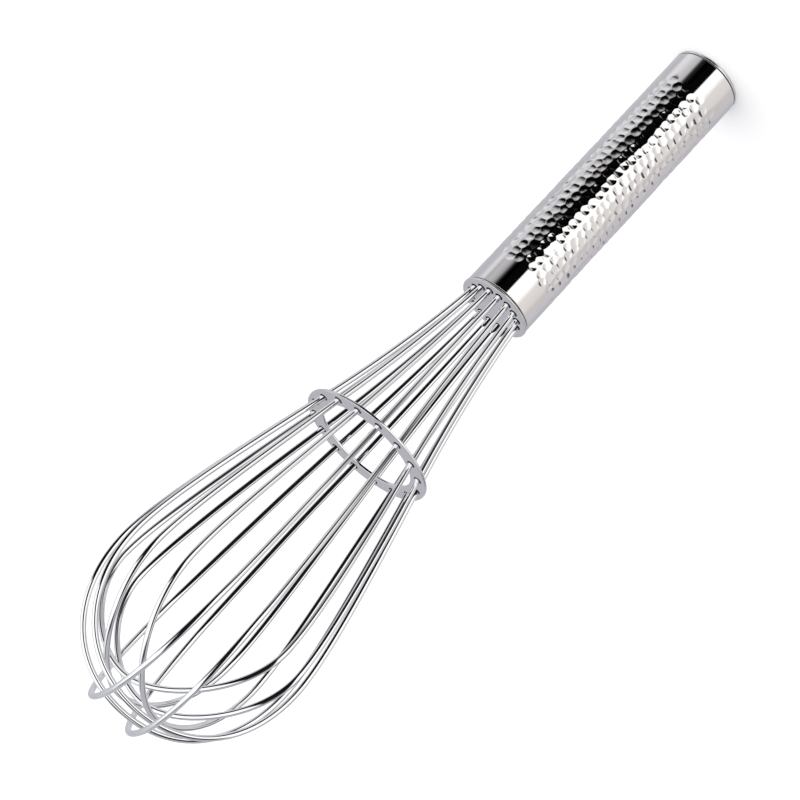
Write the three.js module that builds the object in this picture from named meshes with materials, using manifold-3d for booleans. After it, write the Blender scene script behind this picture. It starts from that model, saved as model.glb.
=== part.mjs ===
// Balloon whisk: a hammered-steel tube handle, eight sprung wire loops and a spreader ring.
// Millimetres, +Z up. The whisk stands on the butt of its handle, with its axis on Z.

import * as THREE from 'three';
import { mergeVertices } from 'three/addons/utils/BufferGeometryUtils.js';
import Module from 'manifold-3d';

const manifoldLibrary = await Module();
manifoldLibrary.setup();

// Handle
const HANDLE_RADIUS = 12.7;
const HANDLE_WALL = 0.6;
const SEAM_GAP = 0.3;
const FIT_GAP = 0.3;
const EDGE_CHAMFER = 0.25;
const ROUND_SEGMENTS = 48;

// End cap, at the bottom
const CAP_THICKNESS = 0.9;
const CAP_SKIRT_DEPTH = 7;
const CAP_SKIRT_WALL = 0.6;

// Wire collar, at the mouth of the handle
const COLLAR_FACE_Z = 115.3;
const COLLAR_FLANGE_THICKNESS = 0.7;
const COLLAR_FLANGE_RADIUS = 12.95;
const COLLAR_INSERT_DEPTH = 3.2;
const COLLAR_HOLE_CIRCLE = 9.45;

// Resin core, under the collar
const RESIN_BOTTOM_Z = 90;

// Wires
const WIRE_DIAMETER = 2.0;
const WIRE_HOLE_DIAMETER = 2.7;
const WIRE_SIDES = 8;
const WIRE_STEPS = 76;
const WIRE_COUNT = 16;
const WIRE_END_Z = 94;

// Spreader ring
const RING_Z = 179.5;
const RING_THICKNESS = 0.9;
const RING_OUTER_RADIUS = 24.1;
const RING_INNER_RADIUS = 17.9;
const RING_HOLE_CIRCLE = 21.1;

// Balloon: every loop has the same belly, and a cap height and fullness of its own pair.
const BELLY_Z = 253.5;
const BELLY_HALF_WIDTH = 35.1;
const RING_LEAD = 47.2;
const BELLY_LEAD = 9.6;
const OFFSET_SLOPE = 0.034;

// Below the ring each wire bows inwards between the ring and the collar, and the whole set of wires
// twists about the axis: the collar's holes are turned a little against the loops.
const BOW_RADIUS = 13.07;
const COLLAR_TWIST = THREE.MathUtils.degToRad(5.3);
const TWIST_END_Z = 205;
const TWIST_POWER = 1.5;

// The four pairs of parallel loops, from the outermost at the tip to the innermost.
// shoulder and crown say how full the cap is: both 0.55 would make it a quarter ellipse.
const LOOP_PAIRS = [
  { name: 'outer', direction: 90, tip: 296.0, shoulder: 0.66, crown: 0.75 },
  { name: 'second', direction: 0, tip: 292.6, shoulder: 0.58, crown: 0.62 },
  { name: 'third', direction: 135, tip: 289.6, shoulder: 0.62, crown: 0.42 },
  { name: 'inner', direction: 45, tip: 286.6, shoulder: 0.52, crown: 0.42 },
];

// Values worked out from the ones above
const HOLE_PITCH = (2 * Math.PI) / WIRE_COUNT;
const HALF_PITCH = HOLE_PITCH / 2;
const BORE_RADIUS = HANDLE_RADIUS - HANDLE_WALL;
const INSERT_RADIUS = BORE_RADIUS - FIT_GAP;
const TUBE_BOTTOM_Z = CAP_THICKNESS + SEAM_GAP;
const COLLAR_FLANGE_Z = COLLAR_FACE_Z - COLLAR_FLANGE_THICKNESS;
const TUBE_TOP_Z = COLLAR_FLANGE_Z - SEAM_GAP;
const COLLAR_BOTTOM_Z = TUBE_TOP_Z - COLLAR_INSERT_DEPTH;

// How far a wire is from the axis at a height, up to the ring: straight to the collar, then bowed.
const HALF_RISE = (RING_Z - COLLAR_FACE_Z) / 2;
const COLLAR_SLOPE = (BOW_RADIUS - COLLAR_HOLE_CIRCLE) / HALF_RISE;
const RING_SLOPE = (RING_HOLE_CIRCLE - BOW_RADIUS) / HALF_RISE;

function radiusAt(height) {
  if (height < COLLAR_FACE_Z) return COLLAR_HOLE_CIRCLE + COLLAR_SLOPE * (height - COLLAR_FACE_Z);
  const part = (height - COLLAR_FACE_Z) / (2 * HALF_RISE);
  const start = (1 - part) ** 2 * COLLAR_HOLE_CIRCLE;
  const middle = 2 * (1 - part) * part * BOW_RADIUS;
  return start + middle + part ** 2 * RING_HOLE_CIRCLE;
}

// How far a loop's wire is from the plane through the axis along its loop.
function offsetAt(height) {
  if (height < RING_Z) return radiusAt(height) * Math.sin(HALF_PITCH);
  return RING_HOLE_CIRCLE * Math.sin(HALF_PITCH) + OFFSET_SLOPE * (height - RING_Z);
}

// How far the wires are turned about the axis at a height.
function twistAt(height) {
  if (height > TWIST_END_Z) return 0;
  return COLLAR_TWIST * ((TWIST_END_Z - height) / (TWIST_END_Z - COLLAR_FACE_Z)) ** TWIST_POWER;
}

function surface(color, roughness, metalness) {
  return new THREE.MeshStandardMaterial({ color, roughness, metalness });
}

const polishedSteel = () => surface(0xd4d6da, 0.12, 1);
const wireSteel = () => surface(0xcfd2d8, 0.16, 1);
const stampedSteel = () => surface(0xb4b4ba, 0.3, 1);
const castResin = () => surface(0x8c8a80, 0.55, 0);

// A solid of revolution about Z from [radius, height] points.
function turned(profile) {
  const points = profile.map(([radius, height]) => new THREE.Vector2(radius, height));
  const geometry = new THREE.LatheGeometry(points, ROUND_SEGMENTS);
  geometry.rotateX(Math.PI / 2);
  return geometry;
}

function toManifold(geometry) {
  const bare = geometry.clone();
  bare.deleteAttribute('normal');
  bare.deleteAttribute('uv');
  const welded = mergeVertices(bare, 1e-5);
  const mesh = new manifoldLibrary.Mesh({
    numProp: 3,
    vertProperties: new Float32Array(welded.attributes.position.array),
    triVerts: new Uint32Array(welded.index.array),
  });
  return new manifoldLibrary.Manifold(mesh);
}

function toGeometry(solid) {
  const mesh = solid.getMesh();
  const geometry = new THREE.BufferGeometry();
  geometry.setAttribute('position', new THREE.BufferAttribute(new Float32Array(mesh.vertProperties), 3));
  geometry.setIndex(new THREE.BufferAttribute(new Uint32Array(mesh.triVerts), 1));
  geometry.computeVertexNormals();
  return geometry;
}

// A cylinder whose axis runs from one point to another.
function rod(start, end, radius, sides) {
  const along = new THREE.Vector3().subVectors(end, start);
  const geometry = new THREE.CylinderGeometry(radius, radius, along.length(), sides);
  const upright = new THREE.Vector3(0, 1, 0);
  const turn = new THREE.Quaternion().setFromUnitVectors(upright, along.clone().normalize());
  geometry.applyQuaternion(turn);
  geometry.translate((start.x + end.x) / 2, (start.y + end.y) / 2, (start.z + end.z) / 2);
  return geometry;
}

// The point where wire number index is at a height, up to the ring.
function wirePoint(index, height) {
  const angle = HALF_PITCH + index * HOLE_PITCH + twistAt(height);
  const radius = radiusAt(height);
  return new THREE.Vector3(radius * Math.cos(angle), radius * Math.sin(angle), height);
}

// Sixteen wire holes along the wires' own slant, cut from one height to another.
function drillWireHoles(solid, fromZ, toZ) {
  let drilled = solid;
  for (let index = 0; index < WIRE_COUNT; index += 1) {
    const hole = rod(wirePoint(index, fromZ), wirePoint(index, toZ), WIRE_HOLE_DIAMETER / 2, 10);
    drilled = drilled.subtract(toManifold(hole));
  }
  return drilled;
}

function endCap() {
  const skirtInner = INSERT_RADIUS - CAP_SKIRT_WALL;
  const skirtTop = CAP_THICKNESS + CAP_SKIRT_DEPTH;
  return turned([
    [0, 0],
    [HANDLE_RADIUS - EDGE_CHAMFER, 0],
    [HANDLE_RADIUS, EDGE_CHAMFER],
    [HANDLE_RADIUS, CAP_THICKNESS],
    [INSERT_RADIUS, CAP_THICKNESS],
    [INSERT_RADIUS, skirtTop],
    [skirtInner, skirtTop],
    [skirtInner, CAP_THICKNESS],
    [0, CAP_THICKNESS],
  ]);
}

function handleTube() {
  return turned([
    [BORE_RADIUS, TUBE_BOTTOM_Z],
    [HANDLE_RADIUS, TUBE_BOTTOM_Z],
    [HANDLE_RADIUS, TUBE_TOP_Z],
    [BORE_RADIUS, TUBE_TOP_Z],
    [BORE_RADIUS, TUBE_BOTTOM_Z],
  ]);
}

function resinCore() {
  const top = COLLAR_BOTTOM_Z - FIT_GAP;
  const plug = turned([
    [0, RESIN_BOTTOM_Z],
    [INSERT_RADIUS, RESIN_BOTTOM_Z],
    [INSERT_RADIUS, top],
    [0, top],
  ]);
  const drilled = drillWireHoles(toManifold(plug), WIRE_END_Z - FIT_GAP, top + 1);
  return toGeometry(drilled);
}

function wireCollar() {
  const blank = turned([
    [0, COLLAR_BOTTOM_Z],
    [INSERT_RADIUS, COLLAR_BOTTOM_Z],
    [INSERT_RADIUS, COLLAR_FLANGE_Z],
    [COLLAR_FLANGE_RADIUS, COLLAR_FLANGE_Z],
    [COLLAR_FLANGE_RADIUS, COLLAR_FACE_Z - EDGE_CHAMFER],
    [COLLAR_FLANGE_RADIUS - EDGE_CHAMFER, COLLAR_FACE_Z],
    [0, COLLAR_FACE_Z],
  ]);
  const drilled = drillWireHoles(toManifold(blank), COLLAR_BOTTOM_Z - 1, COLLAR_FACE_Z + 1);
  return toGeometry(drilled);
}

function spreaderRing() {
  const bottom = RING_Z - RING_THICKNESS / 2;
  const top = RING_Z + RING_THICKNESS / 2;
  const blank = turned([
    [RING_INNER_RADIUS, bottom],
    [RING_OUTER_RADIUS, bottom],
    [RING_OUTER_RADIUS, top],
    [RING_INNER_RADIUS, top],
    [RING_INNER_RADIUS, bottom],
  ]);
  const drilled = drillWireHoles(toManifold(blank), bottom - 1, top + 1);
  return toGeometry(drilled);
}

// Half of a loop's outline, from a wire's end to the tip, as half widths against heights.
function halfOutline(pair) {
  const cos = Math.cos(HALF_PITCH);
  const end = new THREE.Vector2(radiusAt(WIRE_END_Z) * cos, WIRE_END_Z);
  const collar = new THREE.Vector2(COLLAR_HOLE_CIRCLE * cos, COLLAR_FACE_Z);
  const bow = new THREE.Vector2(BOW_RADIUS * cos, COLLAR_FACE_Z + HALF_RISE);
  const ring = new THREE.Vector2(RING_HOLE_CIRCLE * cos, RING_Z);
  const ringLead = new THREE.Vector2(ring.x + RING_SLOPE * cos * RING_LEAD, RING_Z + RING_LEAD);
  const bellyLead = new THREE.Vector2(BELLY_HALF_WIDTH, BELLY_Z - BELLY_LEAD);
  const belly = new THREE.Vector2(BELLY_HALF_WIDTH, BELLY_Z);
  const shoulderZ = BELLY_Z + pair.shoulder * (pair.tip - BELLY_Z);
  const shoulder = new THREE.Vector2(BELLY_HALF_WIDTH, shoulderZ);
  const crown = new THREE.Vector2(pair.crown * BELLY_HALF_WIDTH, pair.tip);
  const tip = new THREE.Vector2(0, pair.tip);

  const outline = new THREE.CurvePath();
  outline.add(new THREE.LineCurve(end, collar));
  outline.add(new THREE.QuadraticBezierCurve(collar, bow, ring));
  outline.add(new THREE.CubicBezierCurve(ring, ringLead, bellyLead, belly));
  outline.add(new THREE.CubicBezierCurve(belly, shoulder, crown, tip));
  return outline;
}

// One loop's centre line: its outline mirrored about the tip, moved off the axis, and twisted.
class LoopPath extends THREE.Curve {
  constructor(pair, side) {
    super();
    this.outline = halfOutline(pair);
    this.direction = THREE.MathUtils.degToRad(pair.direction);
    this.side = side;
  }

  getPoint(part) {
    const half = part < 0.5 ? 1 : -1;
    const place = this.outline.getPoint(1 - Math.abs(1 - 2 * part));
    const point = new THREE.Vector3(half * place.x, this.side * offsetAt(place.y), place.y);
    return point.applyAxisAngle(new THREE.Vector3(0, 0, 1), this.direction + twistAt(place.y));
  }
}

function wireLoop(pair, side) {
  const section = new THREE.Shape();
  for (let corner = 0; corner < WIRE_SIDES; corner += 1) {
    const angle = (corner / WIRE_SIDES) * 2 * Math.PI;
    const x = (WIRE_DIAMETER / 2) * Math.cos(angle);
    const y = (WIRE_DIAMETER / 2) * Math.sin(angle);
    if (corner === 0) {
      section.moveTo(x, y);
    } else {
      section.lineTo(x, y);
    }
  }
  section.closePath();
  return new THREE.ExtrudeGeometry(section, {
    steps: WIRE_STEPS,
    bevelEnabled: false,
    extrudePath: new LoopPath(pair, side),
  });
}

const whisk = new THREE.Group();

function addPiece(name, geometry, material) {
  const mesh = new THREE.Mesh(geometry, material);
  mesh.name = name;
  whisk.add(mesh);
}

addPiece('end_cap', endCap(), stampedSteel());
addPiece('handle_tube', handleTube(), polishedSteel());
addPiece('resin_core', resinCore(), castResin());
addPiece('wire_collar', wireCollar(), stampedSteel());
addPiece('spreader_ring', spreaderRing(), stampedSteel());
for (const pair of LOOP_PAIRS) {
  addPiece(`wire_loop_${pair.name}_a`, wireLoop(pair, 1), wireSteel());
  addPiece(`wire_loop_${pair.name}_b`, wireLoop(pair, -1), wireSteel());
}

export default whisk;
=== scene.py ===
import math
import random

import bpy
import numpy as np
from mathutils import Matrix, Vector


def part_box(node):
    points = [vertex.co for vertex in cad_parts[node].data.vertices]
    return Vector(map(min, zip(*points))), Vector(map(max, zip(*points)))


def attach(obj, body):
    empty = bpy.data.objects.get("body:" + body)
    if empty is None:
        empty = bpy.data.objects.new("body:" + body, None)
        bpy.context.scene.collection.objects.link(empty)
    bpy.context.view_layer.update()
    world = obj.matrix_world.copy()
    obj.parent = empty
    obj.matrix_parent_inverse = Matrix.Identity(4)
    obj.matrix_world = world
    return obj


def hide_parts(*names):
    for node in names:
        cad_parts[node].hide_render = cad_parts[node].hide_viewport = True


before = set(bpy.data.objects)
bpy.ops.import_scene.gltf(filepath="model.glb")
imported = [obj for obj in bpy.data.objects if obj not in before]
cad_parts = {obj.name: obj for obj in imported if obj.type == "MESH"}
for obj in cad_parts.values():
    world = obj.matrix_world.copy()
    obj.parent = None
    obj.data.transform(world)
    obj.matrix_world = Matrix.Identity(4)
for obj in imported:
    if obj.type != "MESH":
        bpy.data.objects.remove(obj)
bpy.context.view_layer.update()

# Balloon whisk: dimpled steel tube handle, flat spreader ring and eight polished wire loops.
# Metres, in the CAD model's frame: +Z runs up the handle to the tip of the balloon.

MM = 0.001


# ---------------------------------------------------------------- sizes read from the frame

def top_of(node):
    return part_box(node)[1].z


def bottom_of(node):
    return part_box(node)[0].z


def radius_of(node):
    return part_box(node)[1].x


WIRE_RADIUS = 1.0 * MM
WIRE_COUNT = 16
HOLE_PITCH = 2 * math.pi / WIRE_COUNT
HANDLE_RADIUS = radius_of("handle_tube")
COLLAR_FACE = top_of("wire_collar")
RING_TOP = top_of("spreader_ring")
RING_BOTTOM = bottom_of("spreader_ring")
RING_MIDDLE = (RING_TOP + RING_BOTTOM) / 2

# The wires leave the collar on one circle, bow inwards, and pass the ring on a wider circle.
COLLAR_HOLE_CIRCLE = 9.45 * MM
BOW_CIRCLE = 13.07 * MM
RING_HOLE_CIRCLE = 21.1 * MM
HALF_RISE = (RING_MIDDLE - COLLAR_FACE) / 2
COLLAR_SLOPE = (BOW_CIRCLE - COLLAR_HOLE_CIRCLE) / HALF_RISE
RING_SLOPE = (RING_HOLE_CIRCLE - BOW_CIRCLE) / HALF_RISE
HALF_PITCH = HOLE_PITCH / 2

# Above the ring, a loop's wires move this much further from its plane for each unit of height.
OFFSET_SLOPE = 0.034

# Below a certain height the wires are turned about the axis, and most at the collar.
COLLAR_TWIST = math.radians(5.3)
TWIST_END = 205.0 * MM
TWIST_POWER = 1.5


def wire_circle(height):
    """Radius of the circle that the sixteen wires lie on at a height, up to the ring."""
    height = np.asarray(height, float)
    part = (height - COLLAR_FACE) / (2 * HALF_RISE)
    bowed = (1 - part) ** 2 * COLLAR_HOLE_CIRCLE + 2 * (1 - part) * part * BOW_CIRCLE
    bowed = bowed + part ** 2 * RING_HOLE_CIRCLE
    straight = COLLAR_HOLE_CIRCLE + COLLAR_SLOPE * (height - COLLAR_FACE)
    return np.where(height < COLLAR_FACE, straight, bowed)


def wire_offset(height):
    """How far a loop's wire is from the plane through the axis along its loop."""
    above = RING_HOLE_CIRCLE * math.sin(HALF_PITCH) + OFFSET_SLOPE * (height - RING_MIDDLE)
    return np.where(height < RING_MIDDLE, wire_circle(height) * math.sin(HALF_PITCH), above)


def wire_twist(height):
    """How far the wires are turned about the axis at a height."""
    part = (TWIST_END - np.asarray(height, float)) / (TWIST_END - COLLAR_FACE)
    return COLLAR_TWIST * np.maximum(part, 0) ** TWIST_POWER


# ---------------------------------------------------------------- mesh helpers

def add_piece(name, vertices, faces, material, nodes, flat_faces=(), painted_shade_faces=()):
    """Makes a mesh object that stands for some CAD nodes and rides on the root body.

    It is shaded smooth, apart from the faces numbered in flat_faces. The faces numbered in the last list
    lie inside a seam or a hole and get near-black steel: painted shade for these narrow gaps.
    """
    mesh = bpy.data.meshes.new(name)
    mesh.from_pydata(np.asarray(vertices).tolist(), [], faces)
    mesh.validate()
    mesh.update()
    smooth = np.ones(len(mesh.polygons), bool)
    smooth[list(flat_faces)] = False
    mesh.polygons.foreach_set("use_smooth", smooth)
    mesh.materials.append(material)
    # near-black steel on the faces inside seams and holes: painted shade
    if len(painted_shade_faces):
        mesh.materials.append(PAINTED_SHADE_STEEL)
        kinds = np.zeros(len(mesh.polygons), np.int32)
        kinds[list(painted_shade_faces)] = 1
        mesh.polygons.foreach_set("material_index", kinds)
    piece = bpy.data.objects.new(name, mesh)
    bpy.context.scene.collection.objects.link(piece)
    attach(piece, "root")
    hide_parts(*nodes)
    return piece


def grid_faces(rows, columns, close_rows=False):
    """Quads over a grid of rows by columns, closed round the columns, and round the rows if asked."""
    faces = []
    last = rows if close_rows else rows - 1
    for row in range(last):
        a = row * columns
        b = ((row + 1) % rows) * columns
        for column in range(columns):
            after = (column + 1) % columns
            faces.append((a + column, a + after, b + after, b + column))
    return faces


def turned_vertices(profile, columns, start=0.0):
    """Points of a surface of revolution about Z from (radius, height) pairs."""
    angles = start + np.arange(columns) * 2 * math.pi / columns
    profile = np.asarray(profile, float)
    x = profile[:, :1] * np.cos(angles)
    y = profile[:, :1] * np.sin(angles)
    z = np.repeat(profile[:, 1:], columns, axis=1)
    return np.stack([x, y, z], axis=-1).reshape(-1, 3)


def corner(radius, height, size, start, steps=4):
    """A quarter round of a turned profile, centred at (radius, height), starting at an angle in degrees."""
    turns = np.radians(start + np.linspace(0, 90, steps))
    return [(radius + size * math.cos(t), height + size * math.sin(t)) for t in turns]


# ---------------------------------------------------------------- materials

class Nodes:
    """A short way to add and join shader nodes."""

    def __init__(self, tree):
        self.tree = tree
        self.tree.nodes.clear()

    def add(self, kind, **values):
        node = self.tree.nodes.new(kind)
        for key, value in values.items():
            if hasattr(node, key):
                setattr(node, key, value)
            else:
                node.inputs[key].default_value = value
        return node

    def join(self, source, target):
        self.tree.links.new(source, target)

    def ramp(self, source, stops):
        node = self.tree.nodes.new("ShaderNodeValToRGB")
        elements = node.color_ramp.elements
        while len(elements) < len(stops):
            elements.new(0.5)
        for element, (position, colour) in zip(elements, stops):
            element.position = position
            element.color = (*colour, 1)
        self.join(source, node.inputs["Fac"])
        return node.outputs["Color"]

    def math(self, operation, first, second=None):
        node = self.add("ShaderNodeMath", operation=operation)
        for socket, value in zip(node.inputs, (first, second)):
            if isinstance(value, bpy.types.NodeSocket):
                self.join(value, socket)
            elif value is not None:
                socket.default_value = value
        return node.outputs[0]

    def mix(self, factor, first, second):
        node = self.add("ShaderNodeMix", data_type="RGBA")
        self.join(factor, node.inputs["Factor"])
        for socket, value in ((node.inputs[6], first), (node.inputs[7], second)):
            if isinstance(value, bpy.types.NodeSocket):
                self.join(value, socket)
            else:
                socket.default_value = (*value, 1)
        return node.outputs[2]

    def smooth_step(self, source, start, end):
        """0 up to one angle, 1 past another, in degrees, and smooth between."""
        node = self.add("ShaderNodeMapRange", interpolation_type="SMOOTHSTEP")
        node.inputs["From Min"].default_value = math.radians(start)
        node.inputs["From Max"].default_value = math.radians(end)
        self.join(source, node.inputs["Value"])
        return node.outputs["Result"]

    def window(self, source, edges):
        """1 between the two middle angles, 0 outside the outer ones, and smooth on the way."""
        rise = self.smooth_step(source, *edges[:2])
        fall = self.smooth_step(source, *edges[2:])
        return self.math("MULTIPLY", rise, self.math("SUBTRACT", 1.0, fall))

    def scaled(self, source, low, high):
        node = self.tree.nodes.new("ShaderNodeMapRange")
        node.inputs["To Min"].default_value = low
        node.inputs["To Max"].default_value = high
        self.join(source, node.inputs["Value"])
        return node.outputs["Result"]


GRAIN_SCALE = 1000.0
GRAIN_HEIGHT = 0.02 * MM
SMUDGE_TONE = 0.95
SMUDGE_ROUGHNESS = (0.7, 1.4)


def grey(value, tint=(1.0, 1.0, 1.0)):
    return tuple(value * part for part in tint)


def steel(name, tone, tint, roughness, grain, grain_strength, smudge_scale):
    """Steel with faint smudges and fine marks. grain scales the marks' frequency along X, Y and Z."""
    material = bpy.data.materials.new(name)
    material.use_nodes = True
    nodes = Nodes(material.node_tree)
    place = nodes.add("ShaderNodeTexCoord").outputs["Object"]
    output = nodes.add("ShaderNodeOutputMaterial")
    shader = nodes.add("ShaderNodeBsdfPrincipled")
    shader.inputs["Metallic"].default_value = 1.0
    nodes.join(shader.outputs["BSDF"], output.inputs["Surface"])

    smudge = nodes.add("ShaderNodeTexNoise", Scale=smudge_scale, Detail=4.0, Roughness=0.6)
    nodes.join(place, smudge.inputs["Vector"])
    smudged = grey(tone * SMUDGE_TONE, tint)
    colour = nodes.ramp(smudge.outputs["Fac"], [(0.3, smudged), (0.7, grey(tone, tint))])
    nodes.join(colour, shader.inputs["Base Color"])
    rough = nodes.scaled(smudge.outputs["Fac"], *(roughness * part for part in SMUDGE_ROUGHNESS))
    nodes.join(rough, shader.inputs["Roughness"])

    stretch = nodes.add("ShaderNodeMapping", Scale=grain)
    nodes.join(place, stretch.inputs["Vector"])
    marks = nodes.add("ShaderNodeTexNoise", Scale=GRAIN_SCALE, Detail=3.0, Roughness=0.55)
    nodes.join(stretch.outputs["Vector"], marks.inputs["Vector"])
    bump = nodes.add("ShaderNodeBump", Strength=grain_strength, Distance=GRAIN_HEIGHT)
    nodes.join(marks.outputs["Fac"], bump.inputs["Height"])
    nodes.join(bump.outputs["Normal"], shader.inputs["Normal"])
    return material


def resin_material():
    material = bpy.data.materials.new("cast_resin")
    material.use_nodes = True
    nodes = Nodes(material.node_tree)
    place = nodes.add("ShaderNodeTexCoord").outputs["Object"]
    output = nodes.add("ShaderNodeOutputMaterial")
    shader = nodes.add("ShaderNodeBsdfPrincipled", Roughness=0.5)
    nodes.join(shader.outputs["BSDF"], output.inputs["Surface"])
    cloud = nodes.add("ShaderNodeTexNoise", Scale=300.0, Detail=5.0)
    nodes.join(place, cloud.inputs["Vector"])
    colour = nodes.ramp(cloud.outputs["Fac"], [(0.35, (0.2, 0.19, 0.15)), (0.7, (0.3, 0.29, 0.25))])
    nodes.join(colour, shader.inputs["Base Color"])
    return material


HAMMERED = steel("hammered_steel", 0.9, (1.0, 0.995, 0.99), 0.045, (1, 1, 1), 0.03, 60.0)
WIRE = steel("drawn_wire", 0.99, (0.975, 0.99, 1.0), 0.012, (1, 1, 0.1), 0.008, 150.0)
PRESSED = steel("pressed_steel", 0.85, (0.99, 0.99, 1.0), 0.025, (1, 1, 1), 0.015, 120.0)
SHEET = steel("polished_sheet", 0.85, (0.99, 0.99, 1.01), 0.025, (1, 1, 1), 0.015, 120.0)
# Near-black steel for the faces inside the seams and the wire holes: painted shade for these narrow gaps.
PAINTED_SHADE_STEEL = steel("painted_shade_steel", 0.05, (1, 1, 1), 0.5, (1, 1, 1), 0.1, 200.0)


# ---------------------------------------------------------------- handle tube

TUBE_WALL = 0.6 * MM
TUBE_COLUMNS = 480
TUBE_ROW = 0.17 * MM
LIP = 0.15 * MM
LIP_ROWS = np.array([0, 0.04, 0.12, 0.3]) * MM
BUTT_SEAM = 0.35 * MM
COLLAR_SEAM = 0.45 * MM
BUTT_BAND = 11.6 * MM
COLLAR_BAND = 10.0 * MM
BAND_STEPS = 12

# Hammer marks in columns up the handle. DIMPLE_WIDTH and DIMPLE_LENGTH are half sizes, and the scatters
# are parts of a pitch.
DIMPLE_SEED = 11
DIMPLE_COLUMNS = 27
DIMPLE_PITCH = 3.4 * MM
DIMPLE_PHASE = -0.3
DIMPLE_WIDTH = 1.64 * MM
DIMPLE_LENGTH = 1.88 * MM
DIMPLE_DEPTH = 0.23 * MM
DIMPLE_SIZES = (0.86, 1.1)
DIMPLE_DEPTHS = (0.75, 1.2)
DIMPLE_REACH = 1.4
FIRST_MARK = 0.45
LAST_MARK = 0.4
STAGGER = 0.5
START_SCATTER = 0.1
STEP_SCATTER = 0.09
SWAY_KEPT = 0.5
SWAY_SCATTER = 0.13
MARGIN_BELOW = 0.5 * MM
MARGIN_ABOVE = 1.0 * MM
RIDGE_SOFTNESS = 0.024 * MM


def dimples(bottom, top):
    """Hammer marks in wandering columns: (angle, height, half width, half length, depth) of each one."""
    chance = random.Random(DIMPLE_SEED)
    pitch = 2 * math.pi / DIMPLE_COLUMNS
    marks = []
    for column in range(DIMPLE_COLUMNS):
        start = FIRST_MARK + STAGGER * (column % 2) + chance.gauss(0, START_SCATTER)
        height = bottom + DIMPLE_PITCH * start
        sway = 0.0
        while height < top - LAST_MARK * DIMPLE_PITCH:
            sway = SWAY_KEPT * sway + chance.gauss(0, SWAY_SCATTER)
            size = chance.uniform(*DIMPLE_SIZES)
            depth = DIMPLE_DEPTH * chance.uniform(*DIMPLE_DEPTHS)
            angle = (column + DIMPLE_PHASE + sway) * pitch
            marks.append((angle, height, DIMPLE_WIDTH * size, DIMPLE_LENGTH * size, depth))
            height += DIMPLE_PITCH * (1 + chance.gauss(0, STEP_SCATTER))
    return marks


def hammer(heights, marks):
    """How far the tube's surface is pushed in, as a grid of heights by angles.

    Each mark is a round-bottomed dish. The dishes run into each other, and a soft
    maximum rounds the ridge that stays between two of them.
    """
    angles = np.arange(TUBE_COLUMNS) * 2 * math.pi / TUBE_COLUMNS
    total = np.ones((len(heights), TUBE_COLUMNS))
    for angle, height, half_width, half_length, depth in marks:
        rows = np.where(np.abs(heights - height) < DIMPLE_REACH * half_length)[0]
        turn = (angles - angle + math.pi) % (2 * math.pi) - math.pi
        columns = np.where(np.abs(turn) * HANDLE_RADIUS < DIMPLE_REACH * half_width)[0]
        across = turn[columns][None, :] * HANDLE_RADIUS / half_width
        along = (heights[rows] - height)[:, None] / half_length
        bowl = depth * (1 - (across ** 2 + along ** 2))
        total[np.ix_(rows, columns)] += np.exp(bowl / RIDGE_SOFTNESS)
    return RIDGE_SOFTNESS * np.log(total)


def build_handle():
    """The tube: a dimpled middle between two smooth bands, rounded lips and an open bore."""
    bottom = CAP_TOP + BUTT_SEAM
    top = COLLAR_FLANGE_BOTTOM - COLLAR_SEAM
    bore = HANDLE_RADIUS - TUBE_WALL
    first = bottom + BUTT_BAND
    last = top - COLLAR_BAND
    marks = dimples(first, last)
    fine = np.arange(first - MARGIN_BELOW, last + MARGIN_ABOVE, TUBE_ROW)
    lower = np.linspace(bottom + 3 * LIP, fine[0], BAND_STEPS)[1:-1]
    upper = np.linspace(fine[-1], top - 3 * LIP, BAND_STEPS)[1:-1]
    heights = np.concatenate([bottom + LIP + LIP_ROWS, lower, fine, upper, (top - LIP - LIP_ROWS)[::-1]])
    push = hammer(heights, marks)

    low_lip = corner(HANDLE_RADIUS - LIP, bottom + LIP, LIP, -90)[:-1]
    high_lip = corner(HANDLE_RADIUS - LIP, top - LIP, LIP, 0)[1:]
    start = turned_vertices([(bore, bottom)] + low_lip, TUBE_COLUMNS)
    end = turned_vertices(high_lip + [(bore, top)], TUBE_COLUMNS)
    angles = np.arange(TUBE_COLUMNS) * 2 * math.pi / TUBE_COLUMNS
    radii = HANDLE_RADIUS - push
    levels = np.repeat(heights[:, None], TUBE_COLUMNS, 1)
    wall = np.stack([radii * np.cos(angles), radii * np.sin(angles), levels], -1)
    vertices = np.concatenate([start, wall.reshape(-1, 3), end])
    rows = len(vertices) // TUBE_COLUMNS
    faces = grid_faces(rows, TUBE_COLUMNS, close_rows=True)
    # the butt's end face, the end face at the collar and the bore, in near-black steel: painted shade in the
    # seams
    ends = list(range(TUBE_COLUMNS)) + list(range((rows - 2) * TUBE_COLUMNS, rows * TUBE_COLUMNS))
    add_piece("handle", vertices, faces, HAMMERED, ["handle_tube"], painted_shade_faces=ends)


# ---------------------------------------------------------------- end cap

PLUG_CLEARANCE = 0.3 * MM
PLUG_RADIUS = HANDLE_RADIUS - TUBE_WALL - PLUG_CLEARANCE
CAP_TOP = 0.9 * MM
CAP_WALL = 0.6 * MM
CAP_FLAT_INSET = 1.0 * MM
AXIS_RADIUS = 0.01 * MM
CAP_EDGE = 0.3 * MM
CAP_BEAD = 0.12 * MM
CAP_COLUMNS = 160


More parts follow.
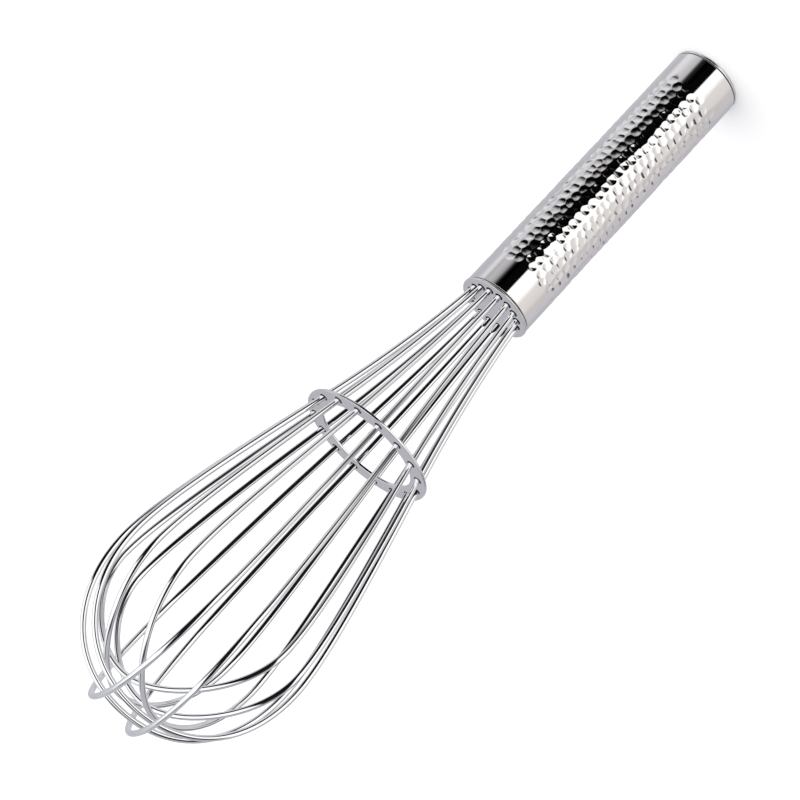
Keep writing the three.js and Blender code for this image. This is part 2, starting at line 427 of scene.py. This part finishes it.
def build_end_cap():
    """The pressed cap: a flat disc with a rounded edge, and a skirt that goes into the tube."""
    inner = PLUG_RADIUS - CAP_WALL
    skirt_top = top_of("end_cap")
    profile = [(AXIS_RADIUS, 0), (HANDLE_RADIUS - CAP_EDGE - CAP_FLAT_INSET, 0)]
    profile += corner(HANDLE_RADIUS - CAP_EDGE, CAP_EDGE, CAP_EDGE, -90)
    profile += corner(HANDLE_RADIUS - CAP_BEAD, CAP_TOP - CAP_BEAD, CAP_BEAD, 0)
    profile += [(PLUG_RADIUS, CAP_TOP), (PLUG_RADIUS, skirt_top), (inner, skirt_top)]
    profile += [(inner, CAP_TOP), (AXIS_RADIUS, CAP_TOP)]
    vertices = turned_vertices(profile, CAP_COLUMNS)
    faces = grid_faces(len(profile), CAP_COLUMNS)
    # the rim's top under the tube's end and the skirt's outside get near-black steel: painted shade in the
    # seam
    joint = profile.index((PLUG_RADIUS, CAP_TOP))
    gap_shade_faces = range((joint - 1) * CAP_COLUMNS, (joint + 1) * CAP_COLUMNS)
    faces.append(tuple(range(CAP_COLUMNS))[::-1])
    last = (len(profile) - 1) * CAP_COLUMNS
    faces.append(tuple(range(last, last + CAP_COLUMNS)))
    add_piece("butt_cap", vertices, faces, PRESSED, ["end_cap"], painted_shade_faces=gap_shade_faces)


# ---------------------------------------------------------------- perforated discs: collar and ring

HOLE_SIDE = 8
HOLE_POINTS = 4 * HOLE_SIDE
HOLE_FILLET = 0.15 * MM
FILLET_MIDDLE = 0.3
WELD_DISTANCE = 0.0005 * MM


def sector_outline(angle, inner, outer, height):
    """Points round one sector of a disc, anticlockwise from its inner corner, HOLE_SIDE to a side."""
    steps = np.arange(HOLE_SIDE) / HOLE_SIDE
    radii = np.concatenate([inner + (outer - inner) * steps, np.full(HOLE_SIDE, outer),
                            outer + (inner - outer) * steps, np.full(HOLE_SIDE, inner)])
    turns = np.concatenate([np.full(HOLE_SIDE, -HALF_PITCH), -HALF_PITCH + HOLE_PITCH * steps,
                            np.full(HOLE_SIDE, HALF_PITCH), HALF_PITCH - HOLE_PITCH * steps]) + angle
    return np.stack([radii * np.cos(turns), radii * np.sin(turns), np.full(HOLE_POINTS, height)], -1)


def hole_ring(angle, outline, radius, height):
    """Points round one wire hole, each in the direction of its point on the outline."""
    centre = np.array([math.cos(angle), math.sin(angle)]) * wire_circle(height)
    spread = outline[:, :2] - centre
    spread /= np.linalg.norm(spread, axis=1, keepdims=True)
    return np.column_stack([centre + spread * radius, np.full(HOLE_POINTS, height)])


def perforated(top, bottom, inner, outer_top, outer_bottom, rim, twist, clearance):
    """Vertices, faces, flat faces and hole wall faces of a disc with sixteen wire holes.

    rim holds the (radius, height) pairs of the outer wall from top to bottom, and inner is the radius of
    the disc's own hole, or of the plain middle of a disc that has none. The hole wall faces include the
    holes' rounded edges.
    """
    hole = WIRE_RADIUS + clearance
    middle = HOLE_FILLET * FILLET_MIDDLE
    vertices, faces, flat, walls_of_holes = [], [], [], []
    for index in range(WIRE_COUNT):
        angle = (index + 0.5) * HOLE_PITCH + twist
        upper = sector_outline(angle, inner, outer_top, top)
        lower = sector_outline(angle, inner, outer_bottom, bottom)
        loops = [upper,
                 hole_ring(angle, upper, hole + HOLE_FILLET, top),
                 hole_ring(angle, upper, hole + middle, top - middle),
                 hole_ring(angle, upper, hole, top - HOLE_FILLET),
                 hole_ring(angle, upper, hole, bottom + HOLE_FILLET),
                 hole_ring(angle, upper, hole + HOLE_FILLET, bottom),
                 lower]
        start = len(vertices)
        for loop in loops:
            vertices.extend(loop)
        for level in range(len(loops) - 1):
            a = start + level * HOLE_POINTS
            b = a + HOLE_POINTS
            for point in range(HOLE_POINTS):
                after = (point + 1) % HOLE_POINTS
                if level in (0, len(loops) - 2):
                    flat.append(len(faces))
                else:
                    walls_of_holes.append(len(faces))
                faces.append((a + point, a + after, b + after, b + point))
        # the outer wall of this sector, from the upper outline's outer side to the lower one's
        turns = angle - HALF_PITCH + HOLE_PITCH * np.arange(HOLE_SIDE + 1) / HOLE_SIDE
        walls = [(outer_top, top)] + list(rim) + [(outer_bottom, bottom)]
        start = len(vertices)
        for radius, height in walls:
            for turn in turns:
                vertices.append((radius * math.cos(turn), radius * math.sin(turn), height))
        for level in range(len(walls) - 1):
            a = start + level * (HOLE_SIDE + 1)
            b = a + HOLE_SIDE + 1
            for point in range(HOLE_SIDE):
                faces.append((a + point, b + point, b + point + 1, a + point + 1))
    return vertices, faces, flat, walls_of_holes


def welded(name, vertices, faces, flat, gap_shade_faces, material, node):
    """Adds a perforated disc as one closed surface, its sectors' shared points merged."""
    rounded = np.round(np.asarray(vertices) / WELD_DISTANCE).astype(np.int64)
    _, first, index = np.unique(rounded, axis=0, return_index=True, return_inverse=True)
    index = index.reshape(-1)
    points = np.asarray(vertices)[first]
    merged = [tuple(int(index[v]) for v in face) for face in faces]
    # The hole walls and their rounded edges get near-black steel: painted shade in the holes.
    add_piece(name, points, merged, material, [node], flat, gap_shade_faces)


COLLAR_FLANGE_BOTTOM = COLLAR_FACE - 0.75 * MM
COLLAR_RADIUS = radius_of("wire_collar")
COLLAR_EDGE = 0.2 * MM
FLANGE_CHAMFER = 0.1 * MM
COLLAR_MIDDLE = 7.6 * MM
COLLAR_CLEARANCE = 0.32 * MM


def build_collar():
    """The plug in the mouth of the tube: a thin flange, the insert below it, and the wire holes."""
    bottom = bottom_of("wire_collar")
    outer = COLLAR_RADIUS - COLLAR_EDGE
    rim = corner(outer, COLLAR_FACE - COLLAR_EDGE, COLLAR_EDGE, 0, 5)[::-1][1:]
    rim += [(COLLAR_RADIUS, COLLAR_FLANGE_BOTTOM + FLANGE_CHAMFER)]
    rim += [(COLLAR_RADIUS - FLANGE_CHAMFER, COLLAR_FLANGE_BOTTOM), (PLUG_RADIUS, COLLAR_FLANGE_BOTTOM)]
    twist = float(wire_twist(COLLAR_FACE))
    vertices, faces, flat, gap_shade_faces = perforated(
        COLLAR_FACE, bottom, COLLAR_MIDDLE, outer, PLUG_RADIUS, rim, twist, COLLAR_CLEARANCE)
    for height, turn in ((COLLAR_FACE, 1), (bottom, -1)):
        angles = (np.arange(WIRE_COUNT * HOLE_SIDE) / HOLE_SIDE) * HOLE_PITCH + twist
        start = len(vertices)
        vertices.extend((COLLAR_MIDDLE * math.cos(a), COLLAR_MIDDLE * math.sin(a), height) for a in angles)
        flat.append(len(faces))
        faces.append(tuple(range(start, start + len(angles)))[::turn])
    welded("collar", vertices, faces, flat, gap_shade_faces, PRESSED, "wire_collar")


RING_OUTER = radius_of("spreader_ring")
RING_INNER = 17.9 * MM
RING_EDGE = 0.18 * MM
RING_CLEARANCE = 0.3 * MM


def build_ring():
    """The flat spreader ring, with rounded edges and the wire holes."""
    outer = RING_OUTER - RING_EDGE
    inner = RING_INNER + RING_EDGE
    rim = corner(outer, RING_TOP - RING_EDGE, RING_EDGE, 0)[::-1][1:]
    rim += corner(outer, RING_BOTTOM + RING_EDGE, RING_EDGE, -90)[::-1][:-1]
    twist = float(wire_twist(RING_MIDDLE))
    vertices, faces, flat, gap_shade_faces = perforated(
        RING_TOP, RING_BOTTOM, inner, outer, outer, rim, twist, RING_CLEARANCE)
    bore = corner(inner, RING_TOP - RING_EDGE, RING_EDGE, 90)
    bore += corner(inner, RING_BOTTOM + RING_EDGE, RING_EDGE, 180)
    columns = WIRE_COUNT * HOLE_SIDE
    start = len(vertices)
    vertices.extend(turned_vertices(bore, columns, twist))
    faces.extend(tuple(start + v for v in face) for face in grid_faces(len(bore), columns))
    welded("ring", vertices, faces, flat, gap_shade_faces, SHEET, "spreader_ring")


# ---------------------------------------------------------------- wire loops

WIRE_SIDES = 16
WIRE_STEP = 1.5 * MM
WIRE_BOTTOM = 94.0 * MM
BELLY_HEIGHT = 253.5 * MM
BELLY_HALF_WIDTH = 35.1 * MM
RING_LEAD = 47.2 * MM
BELLY_LEAD = 9.6 * MM
CURVE_STEPS = 60

# name, direction in degrees, and how full the shoulder and the crown of the cap are
LOOP_PAIRS = [
    ("outer", 90, 0.66, 0.75),
    ("second", 0, 0.58, 0.62),
    ("third", 135, 0.62, 0.42),
    ("inner", 45, 0.52, 0.42),
]


def bezier(a, b, c, d):
    t = np.linspace(0, 1, CURVE_STEPS)[:, None]
    a, b, c, d = (np.asarray(p, float) for p in (a, b, c, d))
    return (1 - t) ** 3 * a + 3 * (1 - t) ** 2 * t * b + 3 * (1 - t) * t ** 2 * c + t ** 3 * d


def loop_half(tip, shoulder, crown):
    """(half width, height) from one wire end up to the tip, in the loop's own plane."""
    cos = math.cos(HALF_PITCH)
    leg_heights = np.linspace(WIRE_BOTTOM, RING_MIDDLE, CURVE_STEPS)
    leg = np.column_stack([wire_circle(leg_heights) * cos, leg_heights])
    shoulder_height = BELLY_HEIGHT + shoulder * (tip - BELLY_HEIGHT)
    ring = (RING_HOLE_CIRCLE * cos, RING_MIDDLE)
    lead = ((RING_HOLE_CIRCLE + RING_SLOPE * RING_LEAD) * cos, RING_MIDDLE + RING_LEAD)
    belly = (BELLY_HALF_WIDTH, BELLY_HEIGHT)
    side = bezier(ring, lead, (BELLY_HALF_WIDTH, BELLY_HEIGHT - BELLY_LEAD), belly)
    cap = bezier(belly, (BELLY_HALF_WIDTH, shoulder_height), (crown * BELLY_HALF_WIDTH, tip), (0, tip))
    return np.concatenate([leg, side[1:], cap[1:]])


def resample(points, step):
    gaps = np.linalg.norm(np.diff(points, axis=0), axis=1)
    run = np.concatenate([[0], np.cumsum(gaps)])
    places = np.linspace(0, run[-1], int(run[-1] / step) + 1)
    return np.column_stack([np.interp(places, run, points[:, axis]) for axis in range(3)])


def build_loop(name, direction, side, shoulder, crown):
    """One bent wire, from its end in the handle over the tip and back down to its other end."""
    node = f"wire_loop_{name}_{'a' if side > 0 else 'b'}"
    tip = top_of(node) - WIRE_RADIUS
    half = loop_half(tip, shoulder, crown)
    profile = np.concatenate([half, half[-2::-1] * (-1, 1)])
    offset = wire_offset(profile[:, 1]) * side
    bearing = math.radians(direction)
    turn = bearing + wire_twist(profile[:, 1])
    x = profile[:, 0] * np.cos(turn) - offset * np.sin(turn)
    y = profile[:, 0] * np.sin(turn) + offset * np.cos(turn)
    points = resample(np.column_stack([x, y, profile[:, 1]]), WIRE_STEP)

    # the loop is nearly flat, so the direction square to its plane carries the round section along
    tangents = np.gradient(points, axis=0)
    tangents /= np.linalg.norm(tangents, axis=1, keepdims=True)
    plane = np.array([-math.sin(bearing), math.cos(bearing), 0]) * side
    square = plane - (tangents @ plane)[:, None] * tangents
    square /= np.linalg.norm(square, axis=1, keepdims=True)
    inward = np.cross(tangents, square)
    turns = (np.arange(WIRE_SIDES) * 2 * math.pi / WIRE_SIDES)[None, :, None]
    section = np.cos(turns) * square[:, None, :] + np.sin(turns) * inward[:, None, :]
    section *= WIRE_RADIUS
    vertices = (points[:, None, :] + section).reshape(-1, 3)
    faces = grid_faces(len(points), WIRE_SIDES)
    faces.append(tuple(range(WIRE_SIDES))[::-1])
    last = (len(points) - 1) * WIRE_SIDES
    faces.append(tuple(range(last, last + WIRE_SIDES)))
    loop = add_piece(node.replace("wire_loop", "loop"), vertices, faces, WIRE, [node])
    # Left out of all reflections: mirrored in each other, the loops turn grey and speckled. It also
    # takes the wires' mirror images off the ring and the collar.
    loop.visible_glossy = False


build_handle()
build_end_cap()
build_collar()
build_ring()
for pair_name, pair_direction, pair_shoulder, pair_crown in LOOP_PAIRS:
    for pair_side in (1, -1):
        build_loop(pair_name, pair_direction, pair_side, pair_shoulder, pair_crown)
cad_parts["resin_core"].data.materials.clear()
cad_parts["resin_core"].data.materials.append(resin_material())


# ---------------------------------------------------------------- camera

CAMERA_BEARING = math.radians(-90 + 8.24)
CAMERA_REACH = 769.6 * MM
CAMERA_HEIGHT = 454.2 * MM
TARGET_SIDE = 2.07 * MM
TARGET_HEIGHT = 160.7 * MM
CAMERA_ROLL = math.radians(42.92)
CAMERA_LENS = 116.8
SENSOR_WIDTH = 36


def view_axes():
    """Where the viewer stands, and the view's directions: right, up, and back to the viewer."""
    outward = Vector((math.cos(CAMERA_BEARING), math.sin(CAMERA_BEARING), 0))
    sideways = Vector((-outward.y, outward.x, 0))
    position = outward * CAMERA_REACH + Vector((0, 0, CAMERA_HEIGHT))
    target = sideways * TARGET_SIDE + Vector((0, 0, TARGET_HEIGHT))
    forward = (target - position).normalized()
    level = forward.cross(Vector((0, 0, -1))).normalized()
    steep = level.cross(forward)
    right = level * math.cos(CAMERA_ROLL) + steep * math.sin(CAMERA_ROLL)
    up = steep * math.cos(CAMERA_ROLL) - level * math.sin(CAMERA_ROLL)
    return position, right, up, -forward


def build_camera():
    """The camera looks down on the standing whisk, rolled so that the handle is at the upper right."""
    position, right, up, back = view_axes()
    data = bpy.data.cameras.new("camera")
    data.lens = CAMERA_LENS
    data.sensor_width = SENSOR_WIDTH
    camera = bpy.data.objects.new("camera", data)
    bpy.context.scene.collection.objects.link(camera)
    turn = Matrix((right, up, back)).transposed()
    camera.matrix_world = Matrix.Translation(position) @ turn.to_4x4()
    bpy.context.scene.camera = camera


# ---------------------------------------------------------------- floor and studio

FLOOR_RADIUS = 30.0
FLOOR_SIDES = 64
FLOOR_DROP = 0.02 * MM
LIGHT_STRENGTH = 2.0
LIGHT_SPREAD = math.radians(110)

# The studio is described from the camera: longitude runs to the right of it, and latitude up, in degrees.
# Tones at each longitude on the level, with a broad light on each side of the camera.
LEVEL_TONES = [
    (-180, (0.60, 0.60, 0.65)),
    (-150, (0.52, 0.52, 0.56)),
    (-118, (0.62, 0.62, 0.65)),
    (-92, (1.00, 1.00, 1.01)),
    (-60, (1.10, 1.10, 1.10)),
    (56, (1.20, 1.19, 1.18)),
    (64, (0.82, 0.79, 0.77)),
    (86, (0.77, 0.73, 0.72)),
    (98, (0.63, 0.60, 0.60)),
    (130, (0.60, 0.58, 0.62)),
    (150, (0.50, 0.49, 0.53)),
    (180, (0.60, 0.60, 0.65)),
]
# Tones at each longitude on the ceiling.
CEILING_TONES = [
    (-180, (0.75, 0.75, 0.79)),
    (-125, (0.80, 0.79, 0.82)),
    (-95, (0.68, 0.67, 0.69)),
    (-60, (0.60, 0.58, 0.60)),
    (-32, (0.56, 0.54, 0.56)),
    (-8, (0.46, 0.45, 0.46)),
    (60, (0.34, 0.33, 0.35)),
    (180, (0.75, 0.75, 0.79)),
]
TABLE_TONE = (0.46, 0.46, 0.49)
CEILING_STARTS = (48.0, 62.0)
TABLE_STARTS = (-48.0, -30.0)

# Dark places, as four latitudes and four longitudes: each starts, is full, is full still, and ends.
# lean is how many degrees a place moves left for each degree up.
DARK_PLACES = [
    ("ceiling gap", (33.0, 36.0, 58.0, 75.0), (-118.0, -88.0, 43.0, 62.0), 0.0, 0.998),
    ("front of the gap", (50.0, 58.0, 70.0, 80.0), (-26.0, 2.0, 43.0, 62.0), 0.0, 0.93),
    ("photographer", (-44.0, -36.0, 36.0, 42.0), (-14.0, -6.0, 28.0, 36.0), 0.6, 0.99),
    ("light's edge", (-8.0, 2.0, 45.0, 60.0), (84.0, 90.0, 100.0, 106.0), 0.75, 0.9),
    ("far corner", (-50.0, -41.0, -32.0, -25.0), (96.0, 106.0, 134.0, 148.0), 0.0, 0.75),
    ("table's edge", (-56.0, -51.0, -43.0, -38.0), (-110.0, -95.0, 45.0, 60.0), 0.0, 0.85),
]


def build_floor():
    """A pale disc under the butt, left out of reflections."""
    mesh = bpy.data.meshes.new("floor")
    rim = turned_vertices([(FLOOR_RADIUS, -FLOOR_DROP)], FLOOR_SIDES).tolist()
    mesh.from_pydata(rim, [], [tuple(range(FLOOR_SIDES))])
    material = bpy.data.materials.new("pale_floor")
    material.use_nodes = True
    nodes = Nodes(material.node_tree)
    place = nodes.add("ShaderNodeTexCoord").outputs["Object"]
    output = nodes.add("ShaderNodeOutputMaterial")
    shader = nodes.add("ShaderNodeBsdfPrincipled", Roughness=0.8)
    nodes.join(shader.outputs["BSDF"], output.inputs["Surface"])
    cloud = nodes.add("ShaderNodeTexNoise", Scale=3.0)
    nodes.join(place, cloud.inputs["Vector"])
    colour = nodes.ramp(cloud.outputs["Fac"], [(0.3, grey(0.93)), (0.7, grey(0.95))])
    nodes.join(colour, shader.inputs["Base Color"])
    mesh.materials.append(material)
    floor = bpy.data.objects.new("floor", mesh)
    bpy.context.scene.collection.objects.link(floor)
    floor.visible_glossy = False


def build_world():
    """A soft studio of walls, ceiling, table and dark places. The camera itself sees plain white instead."""
    world = bpy.data.worlds.new("studio")
    world.use_nodes = True
    bpy.context.scene.world = world
    nodes = Nodes(world.node_tree)
    direction = nodes.add("ShaderNodeTexCoord").outputs["Generated"]
    parts = []
    for axis in view_axes()[1:]:
        dot = nodes.add("ShaderNodeVectorMath", operation="DOT_PRODUCT")
        nodes.join(direction, dot.inputs[0])
        dot.inputs[1].default_value = axis
        parts.append(dot.outputs["Value"])
    longitude = nodes.math("ARCTAN2", parts[0], parts[2])
    latitude = nodes.math("ARCSINE", parts[1])
    turn = nodes.math("ADD", nodes.math("DIVIDE", longitude, 2 * math.pi), 0.5)
    level = nodes.ramp(turn, [((degrees + 180) / 360, tone) for degrees, tone in LEVEL_TONES])
    ceiling = nodes.ramp(turn, [((degrees + 180) / 360, tone) for degrees, tone in CEILING_TONES])

    tones = nodes.mix(nodes.smooth_step(latitude, *CEILING_STARTS), level, ceiling)
    table = nodes.math("SUBTRACT", 1.0, nodes.smooth_step(latitude, *TABLE_STARTS))
    tones = nodes.mix(table, tones, TABLE_TONE)
    for _, latitudes, longitudes, lean, depth in DARK_PLACES:
        leaning = nodes.math("ADD", longitude, nodes.math("MULTIPLY", latitude, lean))
        place = nodes.math("MULTIPLY", nodes.window(latitude, latitudes), nodes.window(leaning, longitudes))
        tones = nodes.mix(nodes.math("MULTIPLY", place, depth), tones, (0.0, 0.0, 0.0))

    studio = nodes.add("ShaderNodeBackground")
    nodes.join(tones, studio.inputs["Color"])
    backdrop = nodes.add("ShaderNodeBackground", Color=(1, 1, 1, 1), Strength=1.0)
    seen = nodes.add("ShaderNodeLightPath").outputs["Is Camera Ray"]
    either = nodes.add("ShaderNodeMixShader")
    nodes.join(seen, either.inputs["Fac"])
    nodes.join(studio.outputs["Background"], either.inputs[1])
    nodes.join(backdrop.outputs["Background"], either.inputs[2])
    output = nodes.add("ShaderNodeOutputWorld")
    nodes.join(either.outputs["Shader"], output.inputs["Surface"])


def build_light():
    """One broad overhead light for the floor. It isn't seen in the steel."""
    data = bpy.data.lights.new("overhead", "SUN")
    data.energy = LIGHT_STRENGTH
    data.angle = LIGHT_SPREAD
    light = bpy.data.objects.new("overhead", data)
    bpy.context.scene.collection.objects.link(light)
    light.visible_glossy = False


build_camera()
build_floor()
build_world()
build_light()
bpy.context.scene.view_settings.view_transform = "Standard"
